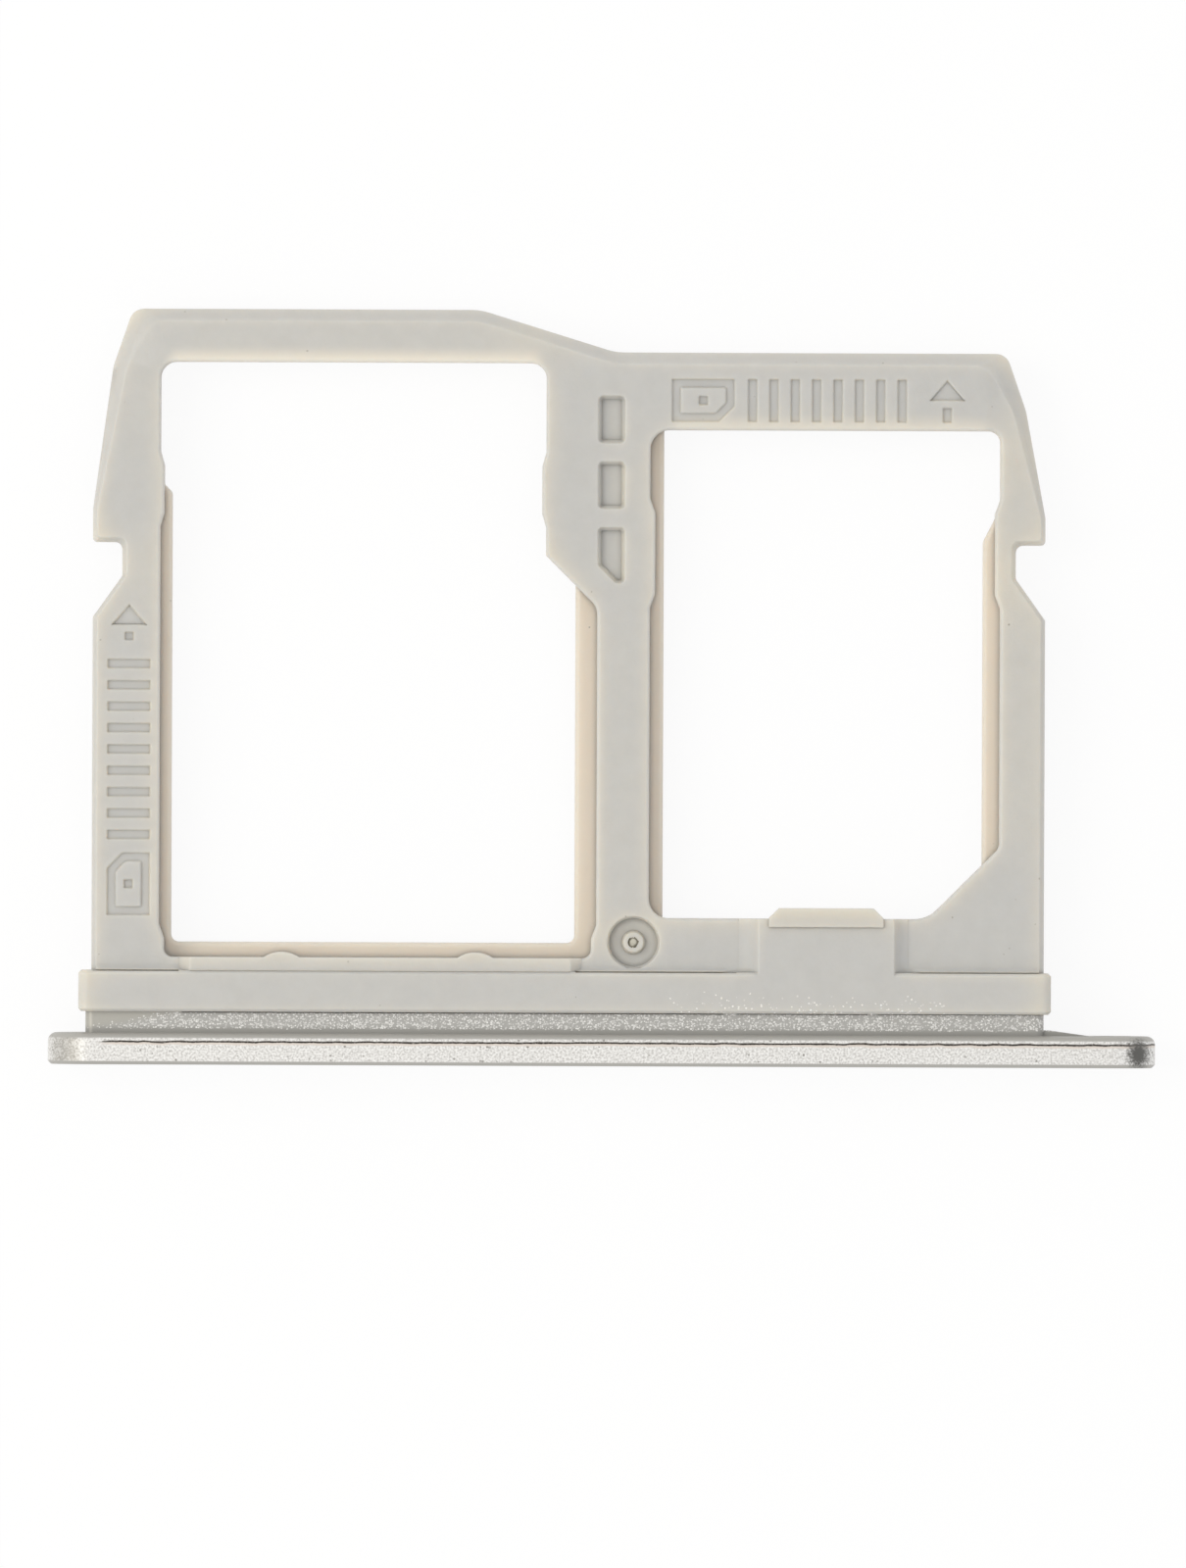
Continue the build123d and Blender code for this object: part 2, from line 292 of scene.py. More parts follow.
class Reading(Enum):
    """Way that a row of slot marks runs, as the turn that it gets from the X axis."""

    ALONG_PLATE = 0.0
    INTO_PHONE = 90.0


class CardCorner(Enum):
    """Corner of the card sign that is cut, as its sides along and across the row."""

    FAR_BOTTOM = (1, -1)
    FAR_TOP = (1, 1)


@dataclass
class SlotMarks:
    """Row of plain signs sunk into a rail: a card with one corner cut, its contacts, and an arrow.

    The arrow points the way the tray goes in. Each sign is a shallow pocket with drafted walls. The
    row is made along the X axis, and then turned and set in place.
    """

    name: str
    start: tuple[float, float]
    length: float
    reading: Reading
    corner: CardCorner
    surface: float = 1.7
    height: float = 1.12
    stroke: float = 0.26
    card_length: float = 1.62
    card_cut: float = 0.40
    chip: float = 0.26
    contact_width: float = 0.27
    contact_pitch: float = 0.54
    arrow_length: float = 0.95
    arrow_head: float = 0.56
    gap: float = 0.30
    soft: float = 0.05
    soft_steps: int = 3
    depth: float = 0.065
    draft: float = 0.04
    proud: float = 0.03

    def cutter(self) -> Object:
        """Makes the solid that sinks the row into its rail.

        Returns:
            One mesh of all the signs' closed solids, in place.
        """
        first = self.card_length + self.gap
        room = self.length - first - self.arrow_length - self.gap
        count = int((room - self.contact_width) / self.contact_pitch) + 1
        signs = [self.card(), self.pocket((self.card_length / 2, 0), (self.chip, self.chip))]
        for index in range(count):
            place = first + self.contact_width / 2 + index * self.contact_pitch
            signs.append(self.pocket((place, 0), (self.contact_width, self.height)))
        signs += self.arrow(self.length - self.arrow_length)
        row = pick(*signs)
        bpy.ops.object.join()
        row.name = self.name
        row.rotation_euler = (0, 0, radians(self.reading.value))
        row.location = Vector((*self.start, self.surface)) * MM
        return settle(row)

    def card(self) -> Object:
        """Makes the sign of a card, a sunk line that leaves the card's middle standing.

        Returns:
            The closed solid that sinks it.
        """
        middle, size = (self.card_length / 2, 0.0), (self.card_length, self.height)
        line = self.outline(middle, size, self.card_cut)
        self.sink(line)
        island = self.outline(middle, size, self.card_cut, self.stroke - self.draft)
        self.stand(island)
        combine(line, island)
        return line

    def arrow(self, left: float) -> list[Object]:
        """Makes the arrow that points the way in.

        Args:
            left: Where the arrow starts along the row.

        Returns:
            The closed solids of the arrow's head and tail.
        """
        middle = left + self.arrow_length / 2
        shaft = self.height - self.arrow_head - self.gap / 2
        head_at = (middle, (self.height - self.arrow_head) / 2)
        tail_at, tail_size = (middle, (shaft - self.height) / 2), (self.stroke, shaft)
        if self.reading is Reading.INTO_PHONE:
            shaft = self.arrow_length - self.arrow_head - self.gap / 2
            head_at = (left + self.arrow_length - self.arrow_head / 2, 0.0)
            tail_at, tail_size = (left + shaft / 2, 0.0), (shaft, self.stroke)
        return [self.arrow_point(head_at), self.pocket(tail_at, tail_size)]

    def arrow_point(self, centre: tuple[float, float]) -> Object:
        """Makes the arrow's head, a wide triangle.

        It starts as a triangle in a circle with a radius of 1 mm, which is sqrt(3) mm wide and 3/2 mm
        high, and whose middle lies 1/4 mm above the circle's.

        Args:
            centre: Middle of the head, along and across the row.

        Returns:
            The closed solid of its pocket.
        """
        add = bpy.ops.mesh.primitive_circle_add
        head = primitive(add, (0, -1 / 4, 0), vertices=3, radius=MM, fill_type="NGON")
        head.scale = (self.arrow_length / sqrt(3), self.arrow_head / (3 / 2), 1)
        head.location = (centre[0] * MM, centre[1] * MM, 0)
        if self.reading is Reading.INTO_PHONE:
            head.rotation_euler = (0, 0, radians(-90))
        settle(head)
        self.round_corners(head)
        self.sink(head)
        return head

    def pocket(self, centre: tuple[float, float], size: tuple[float, float]) -> Object:
        """Makes a plain rectangular pocket.

        Args:
            centre: Middle of the pocket, along and across the row.
            size: Its length and height.

        Returns:
            The closed solid of the pocket.
        """
        shape = self.outline(centre, size)
        self.sink(shape)
        return shape

    def outline(
        self, centre: tuple[float, float], size: tuple[float, float], cut: float = 0, inset: float = 0
    ) -> Object:
        """Makes a flat rectangle with rounded corners, with the card's corner cut off where asked.

        Args:
            centre: Middle of the rectangle, along and across the row.
            size: Its length and height, before the inset.
            cut: How much of the corner is cut off, before the inset.
            inset: How far all its sides are moved in.

        Returns:
            The flat shape, at height zero.
        """
        length, height = size[0] - 2 * inset, size[1] - 2 * inset
        shape = primitive(bpy.ops.mesh.primitive_plane_add, size=1)
        shape.scale = (length * MM, height * MM, 1)
        shape.location = (centre[0] * MM, centre[1] * MM, 0)
        settle(shape)
        if cut:
            along, across = self.corner.value
            tip = Vector((centre[0] + along * length / 2, centre[1] + across * height / 2, 0)) * MM
            # The cut shrinks with the inset, so that the cut side moves in as far as the others.
            self.cut_corner(shape, tip, cut - (2 - sqrt(2)) * inset)
        self.round_corners(shape)
        return shape

    def cut_corner(self, shape: Object, tip: Vector, cut: float) -> None:
        """Cuts one corner off a flat shape.

        Args:
            shape: Flat shape.
            tip: Where the corner is, in metres.
            cut: How far from the corner the cut starts on both sides.
        """
        with editing(shape, "VERT", lambda corner: (corner.co - tip).length < self.soft * MM):
            bpy.ops.mesh.bevel(offset=cut * MM, segments=1, affect="VERTICES")

    def round_corners(self, shape: Object) -> None:
        """Rounds all the corners of a flat shape.

        Args:
            shape: Flat shape.
        """
        with editing(shape, "VERT"):
            bpy.ops.mesh.bevel(offset=self.soft * MM, segments=self.soft_steps, affect="VERTICES")

    def sink(self, shape: Object) -> None:
        """Turns a flat shape into a pocket whose walls draw in on their way down.

        Args:
            shape: Flat shape, as large as the pocket's mouth.
        """
        self.raise_walls(shape, self.proud, -self.proud, -self.depth)

    def stand(self, shape: Object) -> None:
        """Turns a flat shape into an island whose walls draw in on their way up.

        Args:
            shape: Flat shape, as large as the island's foot.
        """
        self.raise_walls(shape, -self.depth - self.proud, self.proud, self.depth)
        top = (0, 0, 2 * self.proud * MM)
        with editing(shape, "FACE", lambda face: face.normal.z > FACES_UP):
            bpy.ops.mesh.extrude_region_move(TRANSFORM_OT_translate={"value": top})

    def raise_walls(self, shape: Object, start: float, straight: float, drafted: float) -> None:
        """Gives a flat shape straight walls and then drafted ones.

        Args:
            shape: Flat shape at height zero.
            start: Height at which its walls start.
            straight: How far up the straight walls go, or down where it is negative.
            drafted: How far the drafted walls go on from there.
        """
        with editing(shape, "FACE"):
            bpy.ops.transform.translate(value=(0, 0, start * MM))
            bpy.ops.mesh.extrude_region_move(TRANSFORM_OT_translate={"value": (0, 0, straight * MM)})
            bpy.ops.mesh.inset(thickness=self.draft * MM, depth=0)
            bpy.ops.transform.translate(value=(0, 0, drafted * MM))
            bpy.ops.mesh.select_all(action="SELECT")
            bpy.ops.mesh.normals_make_consistent(inside=False)


@dataclass(frozen=True)
class BacklitEdge:
    """Edge of a window towards which its bar thins out, where the light that comes through it is painted
    as a warm glow.
    """

    along: Band
    across: Band
    share: float


@dataclass(frozen=True)
class SatinMoulding:
    """Pale warm grey nylon, injection moulded in a finely eroded mould.

    It is satin rather than glossy, and it lets a little light through. That light turning thin ledges,
    bars and edges from grey to a bright warm beige is painted into its colour as a glow, and so is the
    shade in its creases. A few tiny pits darken it, and a few stray flakes of the silver lacquer lie on
    the collar. The eroded grain, about 0.03 mm on the real thing, is drawn at 0.07 mm so that it shows.
    """

    colour: str = "cccbc8"
    shade: str = "c1c0bd"
    # thin and ledge are painted glow: the warm light that comes through thin parts and the low ledges
    thin: str = "e6ddc7"
    ledge_glow: str = "eddfcc"
    pit: str = "a39f96"
    # crease is painted shade, darkening creases and the feet of walls where little light reaches
    crease_shade: str = "96928a"
    mist: str = "f6f4f0"
    # painted glow on the window edges that light comes through
    painted_backlight: str = "f5ecdc"
    roughness: float = 0.5
    ior: float = 1.5
    light_let_in: float = 0.7
    light_spread: tuple[float, float, float] = (1.0, 0.85, 0.7)
    light_depth_mm: float = 0.5
    mottle_mm: float = 0.45
    mottle_roughness: float = 0.65
    grain_mm: float = 0.07
    grain_height_mm: float = 0.005
    grain_strength: float = 0.6
    thin_mm: float = 1.1
    thin_range: tuple[float, float] = (0.70, 0.42)
    thin_most: float = 0.58
    thin_share: float = 0.75
    ledge_heights: tuple[float, float] = (1.0, 1.45)
    crease_mm: float = 0.16
    crease_range: tuple[float, float] = (0.92, 0.3)
    crease_most: float = 0.7
    soft_edge_mm: float = 0.06
    pit_mm: float = 0.05
    pit_share: float = 0.0005
    mist_mm: float = 0.048
    mist_share: float = 0.13
    mist_stretch: Band = (2.4, 8.4, 1.0)
    mist_band: Band = (-8.30, -8.18, 0.6)
    backlit_edges: tuple[BacklitEdge, ...] = (
        BacklitEdge((-10.7, -1.9, 0.5), (7.18, 8.18, 0.5), 0.55),
        BacklitEdge((2.0, 9.5, 0.4), (5.58, 6.58, 0.4), 0.22),
    )

    def material(self) -> Material:
        """Builds the moulding's material.

        Returns:
            The material.
        """
        material, tree, output = blank_material("satin_moulded_nylon")
        place = add_node(tree, "ShaderNodeTexCoord").outputs["Object"]
        axes = add_node(tree, "ShaderNodeSeparateXYZ", {}, {0: place})
        body = self.nylon(tree, place, axes)
        for share, tint in self.layers(tree, place, axes):
            layer = add_node(
                tree, "ShaderNodeMix", {"data_type": "RGBA", 7: linear(tint)}, {0: share, 6: body}
            )
            body = layer.outputs[2]
        grain = add_node(
            tree,
            "ShaderNodeTexNoise",
            {"Scale": 1 / (self.grain_mm * MM), "Detail": 2.0},
            {"Vector": place},
        )
        soft = add_node(tree, "ShaderNodeBevel", {"samples": 4, "Radius": self.soft_edge_mm * MM})
        bump = add_node(
            tree,
            "ShaderNodeBump",
            {"Strength": self.grain_strength, "Distance": self.grain_height_mm * MM},
            {"Height": grain.outputs["Fac"], "Normal": soft.outputs["Normal"]},
        )
        shader = add_node(
            tree,
            "ShaderNodeBsdfPrincipled",
            {
                "Roughness": self.roughness,
                "IOR": self.ior,
                "Subsurface Weight": self.light_let_in,
                "Subsurface Radius": self.light_spread,
                "Subsurface Scale": self.light_depth_mm * MM,
            },
            {"Base Color": body, "Normal": bump.outputs["Normal"]},
        )
        tree.links.new(shader.outputs["BSDF"], output.inputs["Surface"])
        return material

    def nylon(self, tree: NodeTree, place: NodeSocket, axes: Node) -> NodeSocket:
        """Mixes the nylon's colour, grey where it is thick, with a painted warm glow where light comes
        through.

        Args:
            tree: Node tree that the nodes join.
            place: Object coordinates.
            axes: The same, axis by axis.

        Returns:
            The colour.
        """
        mottle = add_node(
            tree,
            "ShaderNodeTexNoise",
            {"Scale": 1 / (self.mottle_mm * MM), "Detail": 5.0, "Roughness": self.mottle_roughness},
            {"Vector": place},
        )
        thick = add_node(
            tree,
            "ShaderNodeMix",
            {"data_type": "RGBA", 6: linear(self.shade), 7: linear(self.colour)},
            {0: mottle.outputs["Fac"]},
        )
        inside = add_node(
            tree,
            "ShaderNodeAmbientOcclusion",
            {"inside": True, "samples": 6, "Distance": self.thin_mm * MM},
        )
        thick_from, thin_from = self.thin_range
        thinness = add_node(
            tree,
            "ShaderNodeMapRange",
            {"From Min": thick_from, "From Max": thin_from, "To Max": self.thin_most},
            {"Value": inside.outputs["AO"]},
        )
        low, high = self.ledge_heights
        height = add_node(
            tree,
            "ShaderNodeMapRange",
            {"From Min": low * MM, "From Max": high * MM},
            {"Value": axes.outputs["Z"]},
        ).outputs["Result"]
        # Painted glow: the warm colour of light coming through thin parts, strongest on the low ledges
        warm = add_node(
            tree,
            "ShaderNodeMix",
            {"data_type": "RGBA", 6: linear(self.ledge_glow), 7: linear(self.thin)},
            {0: height},
        )
        held_back = add_node(
            tree, "ShaderNodeMapRange", {"To Min": 1.0, "To Max": self.thin_share}, {"Value": height}
        )
        share = add_node(
            tree,
            "ShaderNodeMath",
            {"operation": "MULTIPLY"},
            {0: thinness.outputs["Result"], 1: held_back.outputs["Result"]},
        )
        colour = add_node(
            tree,
            "ShaderNodeMix",
            {"data_type": "RGBA"},
            {0: share.outputs[0], 6: thick.outputs[2], 7: warm.outputs[2]},
        )
        return colour.outputs[2]

    def layers(self, tree: NodeTree, place: NodeSocket, axes: Node) -> list[tuple[NodeSocket, str]]:
        """Lists what lies over the nylon's own colour, from the bottom up.

        Args:
            tree: Node tree that the nodes join.
            place: Object coordinates.
            axes: The same, axis by axis.

        Returns:
            How much each layer covers, and its colour: painted shade in creases, pits, the painted glow
            of the edges that light comes through, and the lacquer's stray flakes.
        """
        x, y = axes.outputs["X"], axes.outputs["Y"]
        # Painted shade: darker where little open sky reaches, in creases and at the feet of walls.
        open_sky = add_node(
            tree, "ShaderNodeAmbientOcclusion", {"samples": 6, "Distance": self.crease_mm * MM}
        )
        open_from, shut_from = self.crease_range
        crease_shade_share = add_node(
            tree,
            "ShaderNodeMapRange",
            {"From Min": open_from, "From Max": shut_from, "To Max": self.crease_most},
            {"Value": open_sky.outputs["AO"]},
        )
        # The backlit edges get a painted glow; the mist holds real stray lacquer flakes.
        places = [(edge.along, edge.across, edge.share) for edge in self.backlit_edges]
        places.append((self.mist_stretch, self.mist_band, self.mist_share))
        *glows, density = (
            add_node(
                tree,
                "ShaderNodeMath",
                {"operation": "MULTIPLY", 1: share},
                {0: region(tree, (x, along), (y, across))},
            ).outputs[0]
            for along, across, share in places
        )
        return [
            (crease_shade_share.outputs["Result"], self.crease_shade),
            (flecks(tree, place, self.pit_mm, self.pit_share), self.pit),
            *((glow, self.painted_backlight) for glow in glows),
            (flecks(tree, place, self.mist_mm, density), self.mist),
        ]


@dataclass(frozen=True)
class Overspray:
    """Silver lacquer mist that went past the face plate when it was sprayed, dried as loose flakes.

    It greys the neck and dots it with bright specks, which grow fewer towards the left end and stop
    just short of the face plate, where the neck's foot is darkened with painted shade.
    """

    film: str = "b5b4b1"
    bare: str = "b7b5ae"
    # foot is painted shade at the neck's foot, below the face plate's step
    foot: str = "9b9a96"
    speck: str = "f4f3f1"
    roughness: float = 0.42
    metallic: float = 0.2
    speck_mm: float = 0.047
    speck_height_mm: float = 0.03
    speck_strength: float = 0.5
    patch_mm: float = 0.15
    patch_least: float = 0.45
    stretch: Band = (-12.0, 11.2, 1.4)
    slant: float = 5.0
    band: Band = (-8.61, -8.24, 0.05)
    foot_shade_band: Band = (-8.80, -8.70, 0.16)

    def material(self) -> Material:
        """Builds the material of the neck.

        Returns:
            The material.
        """
        material, tree, output = blank_material("lacquer_mist_on_nylon")
        place = add_node(tree, "ShaderNodeTexCoord").outputs["Object"]
        axes = add_node(tree, "ShaderNodeSeparateXYZ", {}, {0: place})
        raised = add_node(
            tree,
            "ShaderNodeMath",
            {"operation": "MULTIPLY_ADD", 1: -self.slant, 2: self.slant * self.band[0] * MM},
            {0: axes.outputs["Y"]},
        )
        slanted = add_node(
            tree, "ShaderNodeMath", {"operation": "ADD"}, {0: axes.outputs["X"], 1: raised.outputs[0]}
        )
        cover = region(tree, (slanted.outputs[0], self.stretch), (axes.outputs["Y"], self.band))
        patchy = add_node(
            tree,
            "ShaderNodeTexNoise",
            {"Scale": 1 / (self.patch_mm * MM), "Detail": 3.0},
            {"Vector": place},
        )
        evened = add_node(
            tree, "ShaderNodeMapRange", {"To Min": self.patch_least}, {"Value": patchy.outputs["Fac"]}
        )
        density = add_node(
            tree,
            "ShaderNodeMath",
            {"operation": "MULTIPLY"},
            {0: cover, 1: evened.outputs["Result"]},
        )
        speck = flecks(tree, place, self.speck_mm, density.outputs[0])
        film = add_node(
            tree,
            "ShaderNodeMix",
            {"data_type": "RGBA", 6: linear(self.bare), 7: linear(self.film)},
            {0: region(tree, (slanted.outputs[0], self.stretch))},
        )
        body = film.outputs[2]
        for share, tint in (
            # painted shade at the neck's foot
            (region(tree, (axes.outputs["Y"], self.foot_shade_band)), self.foot),
            (speck, self.speck),
        ):
            layer = add_node(
                tree, "ShaderNodeMix", {"data_type": "RGBA", 7: linear(tint)}, {0: share, 6: body}
            )
            body = layer.outputs[2]
        bump = add_node(
            tree,
            "ShaderNodeBump",
            {"Strength": self.speck_strength, "Distance": self.speck_height_mm * MM},
            {"Height": speck},
        )
        shader = add_node(
            tree,
            "ShaderNodeBsdfPrincipled",
            {"Roughness": self.roughness, "Metallic": self.metallic},
            {"Base Color": body, "Normal": bump.outputs["Normal"]},
        )
        tree.links.new(shader.outputs["BSDF"], output.inputs["Surface"])
        return material


@dataclass(frozen=True)
class SprayedSilver:
    """Metallic silver lacquer, sprayed on the face plate in one thin coat.

    Its aluminium flakes lie at all angles, so it sparkles in fine bright and grey grains, with a grey
    speck here and there. Painted grey shade lies on the rounded back edge, the front edge and the left
    end, a painted dark reflection lies on the right end, and it is worn dark along the mould's parting
    line. Real flakes are about 0.02 mm across and are drawn at 0.055 mm so that they show.
    """

    colour: str = "f2f1ef"
    grain: str = "c7c5c2"
    # thin is painted shade on the rounded back edge and the front edge
    thin: str = "b2b0ab"
    # end_shade is painted shade that dims the lamp's highlight on the rounded left end
    end_shade: str = "aaa7a1"
    worn: str = "4c453f"
    rubbed: str = "e0d7cf"
    # tarnish is a painted reflection of dark surroundings on the rounded right end
    dark_reflection: str = "62615e"
    pepper: str = "8d8a85"
    roughness: float = 0.48
    metallic: float = 0.35
    flake_mm: float = 0.055
    flake_height_mm: float = 0.012
    flake_strength: float = 0.5
    flake_range: tuple[float, float] = (0.35, 0.6)
    blotch_mm: float = 0.4
    pepper_mm: float = 0.06
    pepper_share: float = 0.018
    pepper_ends: float = 0.22
    parting_y: float = -8.97
    parting_width: float = 0.024
    parting_wander: float = 0.05
    parting_stretch: Band = (-12.3, 14.5, 0.5)
    parting_range: tuple[float, float] = (0.3, 0.5)
    parting_least: float = 0.35
    rubbed_width: float = 0.055
    rubbed_fade: float = 0.02
    back_edge_shade: Band = (-8.85, -8.70, 0.05)
    front_edge_shade: Band = (-9.70, -9.485, 0.04)
    top_normals: tuple[float, float] = (0.02, 0.2)
    # Where the painted shade on the left end lies
    left_end_shade: Band = (-13.70, -13.38, 0.34)
    left_least: float = 0.55
    # Where the painted dark reflection on the right end lies
    patch_centre: tuple[float, float] = (13.56, -9.20)
    patch_size: tuple[float, float] = (0.38, 0.50)
    patch_fray: float = 0.9
    patch_rim: tuple[float, float] = (1.5, 0.75)

    def material(self) -> Material:
        """Builds the lacquer's material.

        Returns:
            The material.
        """
        material, tree, output = blank_material("sprayed_silver_lacquer")
        coordinates = add_node(tree, "ShaderNodeTexCoord")
        place = coordinates.outputs["Object"]
        axes = add_node(tree, "ShaderNodeSeparateXYZ", {}, {0: place})
        x, y = axes.outputs["X"], axes.outputs["Y"]
        flakes, blotch = (
            add_node(
                tree,
                "ShaderNodeTexNoise",
                {"Scale": 1 / (size * MM), "Detail": detail},
                {"Vector": place},
            ).outputs["Fac"]
            for size, detail in ((self.flake_mm, 3.0), (self.blotch_mm, 4.0))
        )
        facing = add_node(tree, "ShaderNodeSeparateXYZ", {}, {0: coordinates.outputs["Normal"]})
        upright, level = self.top_normals
        low, high = self.flake_range
        faint, full = self.parting_range
        wander = self.parting_wander * MM
        left = region(tree, (x, self.left_end_shade))
        ranges = (
            (facing.outputs["Z"], {"From Min": upright, "From Max": level}),
            (flakes, {"From Min": low, "From Max": high}),
            (flakes, {"From Min": low, "From Max": high, "To Min": 1.0, "To Max": self.left_least}),
            (flakes, {"From Min": faint, "From Max": full, "To Min": self.parting_least}),
            (left, {"To Min": self.pepper_share, "To Max": self.pepper_ends}),
            (blotch, {"To Min": -wander, "To Max": wander}),
        )
        on_top, sparkle, uneven, broken, spread, shift = (
            add_node(tree, "ShaderNodeMapRange", settings, {"Value": value}).outputs["Result"]
            for value, settings in ranges
        )
        coat = add_node(
            tree,
            "ShaderNodeMix",
            {"data_type": "RGBA", 6: linear(self.grain), 7: linear(self.colour)},
            {0: sparkle},
        )
        line_y = add_node(tree, "ShaderNodeMath", {"operation": "ADD"}, {0: y, 1: shift}).outputs[0]
        above, below = (self.parting_y + side * self.parting_width / 2 for side in (1, -1))
        line = (line_y, (below, above, self.parting_width))
        rub = (line_y, (below - self.rubbed_width, below, self.rubbed_fade))
        run = (x, self.parting_stretch)
        products = (
            (left, uneven),
            (region(tree, (y, self.front_edge_shade)), on_top),
            (region(tree, line, run), broken),
            # painted dark reflection at the right end
            (self.dark_reflection_spot(tree, place, flakes), on_top),
        )
        left_end_shade, front, crack, reflection_spot = (
            add_node(tree, "ShaderNodeMath", {"operation": "MULTIPLY"}, {0: one, 1: two}).outputs[0]
            for one, two in products
        )
        # Painted shade on the rounded back edge and on the top of the front edge.
        edges = add_node(
            tree,
            "ShaderNodeMath",
            {"operation": "MAXIMUM"},
            {0: region(tree, (y, self.back_edge_shade)), 1: front},
        )
        # Painted shade on the left end and the edges, and a painted dark reflection at the right end.
        layers = (
            (flecks(tree, place, self.pepper_mm, spread), self.pepper),
            (left_end_shade, self.end_shade),
            (edges.outputs[0], self.thin),
            (region(tree, rub, run), self.rubbed),
            (crack, self.worn),
            (reflection_spot, self.dark_reflection),
        )
        body = coat.outputs[2]
        for share, tint in layers:
            layer = add_node(
                tree, "ShaderNodeMix", {"data_type": "RGBA", 7: linear(tint)}, {0: share, 6: body}
            )
            body = layer.outputs[2]
        bump = add_node(
            tree,
            "ShaderNodeBump",
            {"Strength": self.flake_strength, "Distance": self.flake_height_mm * MM},
            {"Height": flakes},
        )
        shader = add_node(
            tree,
            "ShaderNodeBsdfPrincipled",
            {"Roughness": self.roughness, "Metallic": self.metallic},
            {"Base Color": body, "Normal": bump.outputs["Normal"]},
        )
        tree.links.new(shader.outputs["BSDF"], output.inputs["Surface"])
        return material

    def dark_reflection_spot(self, tree: NodeTree, place: NodeSocket, flakes: NodeSocket) -> NodeSocket:
        """Marks the painted dark reflection at the right end, an oval with a frayed rim.

        Args:
            tree: Node tree that the nodes join.
            place: Object coordinates.
            flakes: The pattern of the flakes, which frays the rim.

        Returns:
            Output that is 1 in the spot and falls off to 0 round it.
        """
        (x, y), (wide, deep) = self.patch_centre, self.patch_size
        off = add_node(
            tree,
            "ShaderNodeVectorMath",
            {
                "operation": "MULTIPLY_ADD",
                1: (1 / (wide * MM), 1 / (deep * MM), 0),
                2: (-x / wide, -y / deep, 0),
            },
            {0: place},
        )
        from_middle = add_node(
            tree, "ShaderNodeVectorMath", {"operation": "LENGTH"}, {0: off.outputs[0]}
        )
        frayed = add_node(
            tree,
            "ShaderNodeMath",
            {"operation": "MULTIPLY_ADD", 1: self.patch_fray},
            {0: flakes, 2: from_middle.outputs["Value"]},
        )
        outside, inside = self.patch_rim
        spot = add_node(
            tree,
            "ShaderNodeMapRange",
            {"interpolation_type": "SMOOTHSTEP", "From Min": outside, "From Max": inside},
            {"Value": frayed.outputs[0]},
        )
        return spot.outputs["Result"]


@dataclass(frozen=True)
class TornSprue:
    """Broken end of the sprue: the same nylon, torn rough and spotted with gloss, and darker in a jagged
    ring round its rim.
    """

    axis: tuple[float, float]
    colour: str = "c6c2b4"
    shade: str = "55503f"
    roughness: float = 0.4
    ring_mm: float = 0.125
    ring_fray: float = 1.45
    tear_mm: float = 0.09
    tear_height_mm: float = 0.05
    tear_range: tuple[float, float] = (0.35, 0.6)

    def material(self) -> Material:
        """Builds the torn end's material.

        Returns:
            The material.
        """
        material, tree, output = blank_material("torn_nylon_sprue")
        place = add_node(tree, "ShaderNodeTexCoord").outputs["Object"]
        tear = add_node(
            tree,
            "ShaderNodeTexNoise",
            {"Scale": 1 / (self.tear_mm * MM), "Detail": 4.0},
            {"Vector": place},
        )
        centred = add_node(
            tree,
            "ShaderNodeVectorMath",
            {"operation": "MULTIPLY_ADD", 1: (1, 1, 0), 2: tuple(-c * MM for c in (*self.axis, 0))},
            {0: place},
        )
        out = add_node(tree, "ShaderNodeVectorMath", {"operation": "LENGTH"}, {0: centred.outputs[0]})
        ragged = add_node(
            tree,
            "ShaderNodeMath",
            {"operation": "MULTIPLY_ADD", 1: self.ring_mm * MM},
            {0: tear.outputs["Fac"], 2: out.outputs["Value"]},
        )
        ring = add_node(
            tree,
            "ShaderNodeMapRange",
            {"From Min": self.ring_fray * self.ring_mm * MM, "From Max": self.ring_mm * MM},
            {"Value": ragged.outputs[0]},
        )
        low, high = self.tear_range
        torn = add_node(
            tree,
            "ShaderNodeMapRange",
            {"From Min": low, "From Max": high},
            {"Value": tear.outputs["Fac"]},
        )
        share = torn.outputs["Result"]
        for operation in ("MAXIMUM", "MULTIPLY"):
            kept = add_node(
                tree, "ShaderNodeMath", {"operation": operation}, {0: share, 1: ring.outputs["Result"]}
            )
            share = kept.outputs[0]
        body = add_node(
            tree,
            "ShaderNodeMix",
            {"data_type": "RGBA", 6: linear(self.shade), 7: linear(self.colour)},
            {0: share},
        )
        bump = add_node(
            tree,
            "ShaderNodeBump",
            {"Distance": self.tear_height_mm * MM},
            {"Height": tear.outputs["Fac"]},
        )
        shader = add_node(
            tree,
            "ShaderNodeBsdfPrincipled",
            {"Roughness": self.roughness},
            {"Base Color": body.outputs[2], "Normal": bump.outputs["Normal"]},
        )
        tree.links.new(shader.outputs["BSDF"], output.inputs["Surface"])
        return material


@dataclass(frozen=True)
class Groove:
    """Fine groove along the face plate, such as the mould's parting line or the foot of the collar."""

    ends: tuple[float, float]
    across: float
    height: float
    width: float
    depth: float


class Finish(IntEnum):
    """Material slot of each finish."""

    MOULDED = 0
    MISTED = 1
    SPRAYED = 2
    TORN = 3


